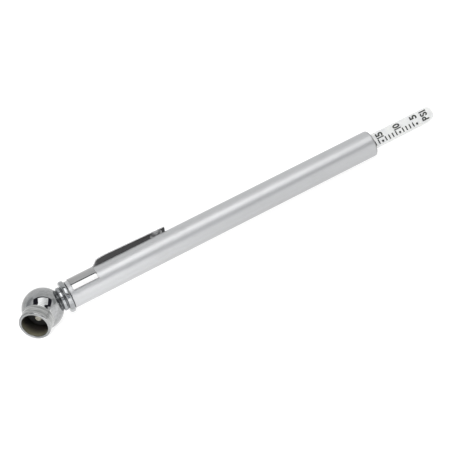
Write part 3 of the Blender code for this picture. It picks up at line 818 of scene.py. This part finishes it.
def make_clip():
    """Band grid and arm grid of middle-surface points, merged along their shared edge."""
    root = ARM_HALF + ARM_FLARE
    middle = np.linspace(-1.0, 1.0, 25)
    outer = np.linspace(root, BAND_HALF, 29)[1:]
    columns = np.concatenate([-outer[::-1], middle * root, outer])
    rows = np.concatenate([np.linspace(BAND_START, BAND_START + 0.3, 3),
                           np.linspace(BAND_START + 0.9, BAND_END, 14)])
    band = clip_sheet(*np.meshgrid(rows, columns, indexing="ij"))
    straight_end = TIP_END - TIP_ROUND
    reach = np.concatenate([
        np.linspace(BAND_END, BEND_END, 34), np.linspace(RISE_END + 1.2, 35.0, 30),
        np.linspace(35.3, straight_end, 34),
        straight_end + TIP_ROUND * np.sin(np.linspace(0.1, math.pi / 2, 8))])
    x = np.repeat(reach[:, None], len(middle), axis=1)
    arm = clip_sheet(x, half_width(reach)[:, None] * middle[None, :])
    work = bmesh.new()
    for points in (band, arm):
        part = surface("clip_part", to_row(points), wrap_u=False, outward=False)
        work.from_mesh(part.data)
        bpy.data.objects.remove(part)
    bmesh.ops.remove_doubles(work, verts=work.verts, dist=2e-6)
    bmesh.ops.recalc_face_normals(work, faces=work.faces)
    face = max(work.faces, key=lambda item: item.calc_center_median().z)
    if face.normal.z < 0.0:
        bmesh.ops.reverse_faces(work, faces=work.faces)
    mesh = bpy.data.meshes.new("pocket_clip_sheet")
    work.to_mesh(mesh)
    work.free()
    bottom = clip_sheet(np.array(DIMPLE_X), np.array(DIMPLE_ACROSS))
    away = (rows_of(mesh.polygons, "center") - to_row(bottom)) / MM
    pressed = np.linalg.norm(away, axis=1) < DIMPLE_R * 1.1
    mesh.polygons.foreach_set("material_index", 2 * pressed.astype(np.int32))
    made = finish_mesh(mesh, outward=False)
    configure(made.modifiers.new("wall", "SOLIDIFY"), thickness=CLIP_SHEET * MM, offset=0.0,
              use_even_offset=True, material_offset=1, material_offset_rim=3)
    configure(made.modifiers.new("edge", "BEVEL"), width=EDGE_WIDTH * MM, segments=2,
              limit_method="ANGLE", angle_limit=math.radians(50.0))
    return made


# the sheet's inner side gets the near-black painted shade
settle(make_clip(), "barrel", "clip_steel", ["pocket_clip"],
       CLIP_CHROME, CLIP_UNDERSIDE_SHADE, CLIP_CHROME, CLIP_WORN)

# %% [markdown]
# The scale bar is drawn nylon: a square with rounded edges and a domed tip. Its section is a
# rounded square, and near the tip that section shrinks along a quarter of a superellipse. The
# tail carries a round collar, which stops the bar from leaving the barrel.

# %% Scale bar
BAR_HALF = 2.6
BAR_EDGE = 0.5
TIP_EXTRA = 0.8  # past the solid bar's tip
bar_low, bar_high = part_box("indicator_bar")
BAR_TIP = (bar_high[0] - ORIGIN[0]) / MM + TIP_EXTRA
BAR_TAIL = (bar_low[0] - ORIGIN[0]) / MM
DOME = 2.7
DOME_POWERS = (5.0, 2.1)  # through the thickness, across the printed face
COLLAR_R, COLLAR_LENGTH = 3.4, 2.5


def square_ring(half, edge, steps=8):
    """Points round a square with rounded corners: four arcs, one at each corner."""
    reach = half - edge
    middles = [(reach, reach), (-reach, reach), (-reach, -reach), (reach, -reach)]
    return np.concatenate([arc(middle, edge, 90.0 * turn, 90.0 * turn + 90.0, steps)
                           for turn, middle in enumerate(middles)])


def make_bar():
    """Rings along x. Each side of the square shrinks by (1 - u^p)^(1/p) over the tip's length u."""
    u = np.sin(np.linspace(0.0, math.pi / 2, 17))
    root = BAR_TAIL + COLLAR_LENGTH
    places = np.concatenate([[root - 0.2] * 2, np.linspace(root, BAR_TIP - DOME, 60)[:-1],
                             BAR_TIP - DOME + DOME * u])
    size = np.ones((len(places), 2))
    for column, power in enumerate(DOME_POWERS):
        size[-len(u):, column] = np.maximum(1.0 - u ** power, 0.0) ** (1.0 / power)
    size[[0, -1]] = 0.0
    ring = square_ring(BAR_HALF, BAR_EDGE)
    section = ring[:, None, :] * size[None, :, :]
    x = np.repeat(places[None, :], len(ring), axis=0)
    return surface("scale_bar", to_row(beside(BAR_TURN, x, section[..., 0], section[..., 1])))


def white_nylon():
    """Milky plastic: slight inner scatter, a cool and a warm white in clouds, faint drawn lines."""
    material, tree, place = start_material(
        "white_nylon", Subsurface_Weight=0.35, Subsurface_Scale=0.001,
        Subsurface_Radius=(1.0, 1.0, 0.9), IOR=1.5)
    lines = use(tree, STREAKS, place, Stretch=(60.0, 1500.0, 1500.0), Fineness=1.0)
    clouds = use(tree, SMUDGES, place, Size=420.0, Amount=1.0)
    tone = mix_colour(tree, clouds["Mask"], (0.73, 0.738, 0.725), (0.66, 0.665, 0.675))
    tone = mix_colour(tree, times(tree, lines["Tone"], 0.25), tone, (0.76, 0.765, 0.755))
    rough = remap(tree, clouds["Mask"], 0.0, 1.0, 0.3, 0.42)
    return close_material(material, tone, rough, lines["Height"], 0.2, 0.00001)


NYLON = white_nylon()
settle(make_bar(), "indicator", "bar_nylon", ["indicator_bar"], NYLON)
collar_top = BAR_TAIL + COLLAR_LENGTH
bar_collar = turned("bar_collar", [(0.0, collar_top), (COLLAR_R, collar_top, 0.2),
                                   (COLLAR_R, BAR_TAIL, 0.3), (0.0, BAR_TAIL)], steps=72)
settle(bar_collar, "indicator", "bar_nylon", [], NYLON)

# %% [markdown]
# At zero the bar's tip is flush with the barrel's end, and each unit moves the bar by one pitch.
# Every fifth mark is a dot with its number, and the marks between are short strokes. The ink is a
# thin film, and each flat mark is pressed on to the curve of the bar's rounded edges.

# %% Printed scale
PITCH = 1.53
ZERO = BAR_TIP - 0.5
FIRST_UNIT, FULL_SCALE = 5, 50
INK = 0.018
DOT_PLACE, DOT_R = -1.70, 0.47
STROKE_FROM, STROKE_TO, STROKE_WIDTH = -2.28, -0.52, 0.50
NUMBER_SIZE, NUMBER_SHIFT = 3.0, 0.3
ONES, TENS, TENS_OF_ONE = (1.12, 1.6), (-0.28, 1.15), (-0.05, 0.42)  # middle, width
UNIT_NAME = (("P", -1.25, 1.5), ("S", 0.38, 1.45), ("I", 1.6, 0.5))
UNIT_NAME_AT = 2.35


def press_on(flat, lift):
    """Bar-face points (x, across) to the surface, whose height follows the arc at its edges."""
    over = np.clip(np.abs(flat[:, 1]) - (BAR_HALF - BAR_EDGE), 0.0, BAR_EDGE * 0.98)
    height = BAR_HALF - BAR_EDGE + np.sqrt(BAR_EDGE ** 2 - over ** 2) + lift
    return to_row(beside(BAR_TURN, flat[:, 0], height, flat[:, 1]))


def letter_shape(letter, width, height):
    """One character filling a box, as points and faces. 1 and I are drawn; the rest is text."""
    if letter in "1I":
        half = min(width, STROKE_WIDTH * 1.1) / 2.0
        flag = [(-half / 2.0, 0.5 * height), (-width, 0.27 * height), (-half, 0.29 * height)]
        corners = [(-half, -0.5 * height), (half, -0.5 * height), (half, 0.5 * height)]
        corners += flag if letter == "1" else [(-half, 0.5 * height)]
        return np.array(corners), [list(range(len(corners)))]
    curve = bpy.data.curves.new("letters", "FONT")
    holder = link("letters", configure(curve, body=letter, size=height, align_x="CENTER",
                                       align_y="CENTER", offset=0.10, resolution_u=4))
    graph = bpy.context.evaluated_depsgraph_get()
    mesh = bpy.data.meshes.new_from_object(holder.evaluated_get(graph))
    bpy.data.objects.remove(holder)
    points = rows_of(mesh.vertices, "co")[:, :2]
    faces = [list(face.vertices) for face in mesh.polygons]
    bpy.data.meshes.remove(mesh)
    low, high = points.min(axis=0), points.max(axis=0)
    return (points - (low + high) / 2.0) / (high - low) * np.array([width, height]), faces


def joined(shapes):
    """Shapes, each (points, faces), as one: face indices are counted on from shape to shape."""
    points, faces, count = [], [], 0
    for shape, shape_faces in shapes:
        points.append(shape)
        faces += [[index + count for index in face] for face in shape_faces]
        count += len(shape)
    return np.concatenate(points), faces


def number_marks(letters, x):
    """Characters in a row across the bar, each (letter, middle, width), tops towards the chuck."""
    shapes = []
    for letter, middle, width in letters:
        shape, faces = letter_shape(letter, width, NUMBER_SIZE)
        shapes.append((np.stack([x - shape[:, 1], middle + shape[:, 0]], axis=1), faces))
    return joined(shapes)


def scale_marks():
    """Every mark of the scale in order: a dot and a number at each fifth, strokes between."""
    disc = arc((0.0, 0.0), DOT_R, 0.0, 345.0, 23)
    steps = np.linspace(STROKE_FROM, STROKE_TO, 9)
    stroke = np.concatenate([np.stack([np.full(9, side * STROKE_WIDTH / 2), steps], axis=1)
                             for side in (-1.0, 1.0)])
    stroke_faces = [[k, k + 9, k + 10, k + 1] for k in range(8)]
    for unit in range(FIRST_UNIT, FULL_SCALE + 1):
        x = ZERO - unit * PITCH
        if unit % 5:
            yield stroke + np.array([x, 0.0]), stroke_faces
            continue
        yield disc + np.array([x, DOT_PLACE]), [list(range(24))]
        *tens, ones = str(unit)
        letters = [(ones, *ONES)]
        letters += [(digit, *(TENS_OF_ONE if digit == "1" else TENS)) for digit in tens]
        yield number_marks(letters, x - NUMBER_SHIFT)
    yield number_marks(UNIT_NAME, ZERO - UNIT_NAME_AT * PITCH)


def make_print():
    """Press the marks on the bar, turn them outwards and give the film its depth."""
    flat, faces = joined(scale_marks())
    mesh = bpy.data.meshes.new("scale_print")
    mesh.from_pydata(press_on(flat, INK / 2.0), [], faces)
    work = bmesh.new()
    work.from_mesh(mesh)
    bmesh.ops.triangulate(work, faces=[face for face in work.faces if len(face.verts) > 4])
    bmesh.ops.recalc_face_normals(work, faces=work.faces)
    facing = Vector(radial(BAR_TURN))
    flipped = [face for face in work.faces if face.normal.dot(facing) < 0.0]
    bmesh.ops.reverse_faces(work, faces=flipped)
    work.to_mesh(mesh)
    work.free()
    piece = link("scale_print", mesh)
    configure(piece.modifiers.new("film", "SOLIDIFY"), thickness=INK * MM, offset=0.0)
    return piece


def ink():
    """Dark print that thins out in specks."""
    material, tree, place = start_material("scale_ink", Metallic=0.0)
    grain = use(tree, SPECKS, place, Fineness=2600.0)
    thin = times(tree, grain["Mask"], 0.4)
    tone = mix_colour(tree, thin, (0.030, 0.032, 0.028), (0.16, 0.165, 0.15))
    return close_material(material, tone, remap(tree, grain["Height"], 0.3, 0.7, 0.45, 0.6))


settle(make_print(), "indicator", "bar_nylon", [], ink())

# %% [markdown]
# Behind the rolled lip sits the nylon bushing whose square hole guides the bar. It is a ring
# between two outlines, a circle outside and a rounded square inside, joined over its two ends.

# %% Guide bushing
BUSH_LOW, BUSH_HIGH = 119.1, BARREL_END - WALL - 0.3
BUSH_R, HOLE_HALF, HOLE_EDGE = 4.25, 2.85, 0.6


def make_bushing():
    """Rings between circle and rounded square: up the outside, over the end, down the hole."""
    hole = square_ring(HOLE_HALF, HOLE_EDGE, 10)
    angle = np.arctan2(hole[:, 1], hole[:, 0])
    circle = np.stack([np.cos(angle), np.sin(angle)], axis=1) * BUSH_R
    loops = [(circle, BUSH_LOW), (circle, BUSH_HIGH - 0.1), (circle * 0.975, BUSH_HIGH),
             (hole * 1.03, BUSH_HIGH), (hole, BUSH_HIGH - 0.12), (hole, BUSH_LOW)]
    points = [beside(BAR_TURN, np.full(len(ring), x), *ring.T) for ring, x in loops]
    return surface("bar_bushing", to_row(np.stack(points, axis=1)), wrap_v=True)


settle(make_bushing(), "barrel", "bush_nylon", ["guide_bushing"], GREY_NYLON)

# %% [markdown]
# The working parts inside never show, but they are finished too. The main spring is a wire
# carried along a coil whose closed end turns lie side by side.

# %% Main spring
WIRE_R, COIL_R = 0.33, 3.92
SPRING_LOW, SPRING_HIGH = 14.9, 117.5
TURNS, CLOSED, CLOSED_PITCH = 28.0, 1.5, 1.05
WIRE_SIDES, TURN_STEPS = 12, 30


def make_spring():
    """A circle of wire carried along a coil. The height rises slowly over the closed turns at
    each end and evenly between; the circle lies in the plane of the radius and the axis."""
    turn = np.linspace(0.0, TURNS, int(TURNS) * TURN_STEPS + 1)
    ends = CLOSED * CLOSED_PITCH
    height = np.interp(turn, [0.0, CLOSED, TURNS - CLOSED, TURNS],
                       [SPRING_LOW, SPRING_LOW + ends, SPRING_HIGH - ends, SPRING_HIGH])
    angle = 2.0 * math.pi * turn
    out = np.cos(angle)[:, None] * radial(0.0) + np.sin(angle)[:, None] * radial(90.0)
    around = np.linspace(0.0, 2.0 * math.pi, WIRE_SIDES, endpoint=False)[:, None]
    wire = out * (COIL_R + WIRE_R * np.cos(around))[..., None]
    wire = wire + (height + WIRE_R * np.sin(around))[..., None] * X_AXIS
    centre = out * COIL_R + height[:, None] * X_AXIS
    caps = [np.repeat(centre[None, [end]], WIRE_SIDES, axis=0) for end in (0, -1)]
    return surface("coil_spring", to_row(np.concatenate([caps[0], wire, caps[1]], axis=1)))


spring = make_spring()
anchor = to_row(np.array([SPRING_HIGH, 0.0, 0.0]))
settle(spring, "barrel", "inner_steel", ["main_spring"], STEEL)
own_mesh(spring)

# %% [markdown]
# A rivet holds the piston stack together: a rubber cup whose lip spreads under pressure, a
# washer, the brass body with its pilot, and a thin seat for the spring. The O-ring on the spigot
# and the stop washer at the far end are turned too, so one table of profiles makes them all.

# %% Inner turned pieces
INNER = {
    # name: (stands for, body, slot, material, corners as radius, x, corner radius)
    "cup_seal": ("piston_cup", "piston", "rubber", RUBBER,
                 [(1.2, 11.4, 0.1), (4.3, 11.4, 0.3), (4.3, 7.4, 0.15), (3.7, 7.4, 0.15),
                  (3.3, 8.4, 0.6), (3.3, 10.3, 0.5), (1.2, 10.3, 0.1)]),
    "cup_plate": ("cup_washer", "piston", "inner_steel", STEEL,
                  washer(1.2, 2.8, 10.0, 9.6, 0.05, 0.1, 0.1, 0.05)),
    "piston_pilot": ("piston_body", "piston", "brass", BRASS,
                     [(1.2, 17.1, 0.1), (3.1, 17.1, 0.5), (3.1, 13.4, 0.15), (4.25, 13.4, 0.15),
                      (4.25, 11.7, 0.2), (1.2, 11.7, 0.1)]),
    "stack_rivet": ("piston_rivet", "piston", "brass", BRASS,
                    [(0.0, 18.2), (1.7, 18.2, 0.4), (1.7, 17.4, 0.1), (0.9, 17.4, 0.1),
                     (0.9, 9.3, 0.1), (1.9, 9.3, 0.1), (1.9, 8.6, 0.35), (0.0, 8.6)]),
    "seat_ring": ("spring_seat", "piston", "inner_steel", STEEL,
                  washer(3.4, 4.25, 14.2, 13.7, 0.08, 0.1, 0.1, 0.08)),
    "stop_ring": ("spring_stop", "barrel", "inner_steel", STEEL,
                  washer(3.55, 4.25, 118.8, 118.2, 0.08, 0.1, 0.1, 0.08)),
    "o_ring": ("spigot_ring", "barrel", "rubber", RUBBER,
               washer(3.4, 4.3, 4.5, 3.6, 0.44, 0.44, 0.44, 0.44)),
}
for name, (node, body, slot_name, material, corners) in INNER.items():
    closed = corners[0][0] > 0.0  # profiles that start on the axis stay open
    piece = turned(name, corners, closed=closed, steps=SMALL_STEPS, arc_steps=5)
    settle(piece, body, slot_name, [node], material)

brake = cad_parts["bar_brake"].data.materials
brake.clear()
brake.append(STEEL)

# %% [markdown]
# The floor gets a paper-white finish that glows a little, to stay as white as its surroundings.

# %% Floor finish and close
PAPER = grained("paper_white", (0.19, 0.19, 0.19), (0.21, 0.21, 0.21), (0.6, 0.7), 300.0, 0.00001)
paper_inputs = PAPER.node_tree.nodes["Principled BSDF"].inputs
paper_inputs["Emission Color"].default_value = (1.0, 1.0, 1.0, 1.0)
paper_inputs["Emission Strength"].default_value = 0.84
floor.data.materials.append(PAPER)
